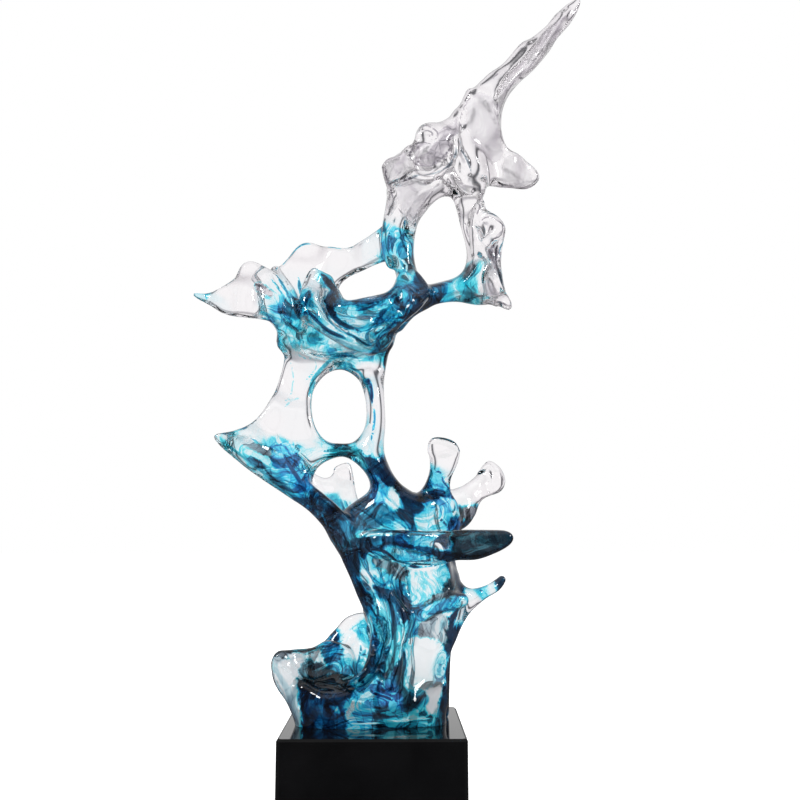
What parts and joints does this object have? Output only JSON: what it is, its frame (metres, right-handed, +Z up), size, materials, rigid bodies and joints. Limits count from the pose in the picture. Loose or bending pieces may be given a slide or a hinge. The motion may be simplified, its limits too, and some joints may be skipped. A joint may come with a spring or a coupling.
{
  "type": "abstract resin sculpture",
  "caption": "Free-form pierced sculpture of clear cast resin with blue ink swirls, rising in fins and lobes from a polished black square block.",
  "frame": {"origin": "centre of the felt pad's underside, on the surface that the sculpture stands on", "axes": "+Z up along the sculpture's height, +X to the right seen from the front, -Y towards the front"},
  "size_m": [0.3534, 0.15, 0.7467],
  "materials": {
    "clear_resin": "clear cast resin, polished, with blue ink swirled inside",
    "black_block": "black crystal or stone block, opaque, polished to a mirror, edges ground",
    "felt": "pressed wool felt, matt",
    "steel": "turned, satin",
    "brass": "turned, satin"
  },
  "bodies": {
    "root": {"resin_sculpture": "clear_resin", "plinth": "black_block", "felt_pad": "felt", "washer_left": "steel", "washer_right": "steel", "fixing_screw_left": "steel", "fixing_screw_right": "steel", "threaded_insert_left": "brass", "threaded_insert_right": "brass"}
  },
  "joints": []
}
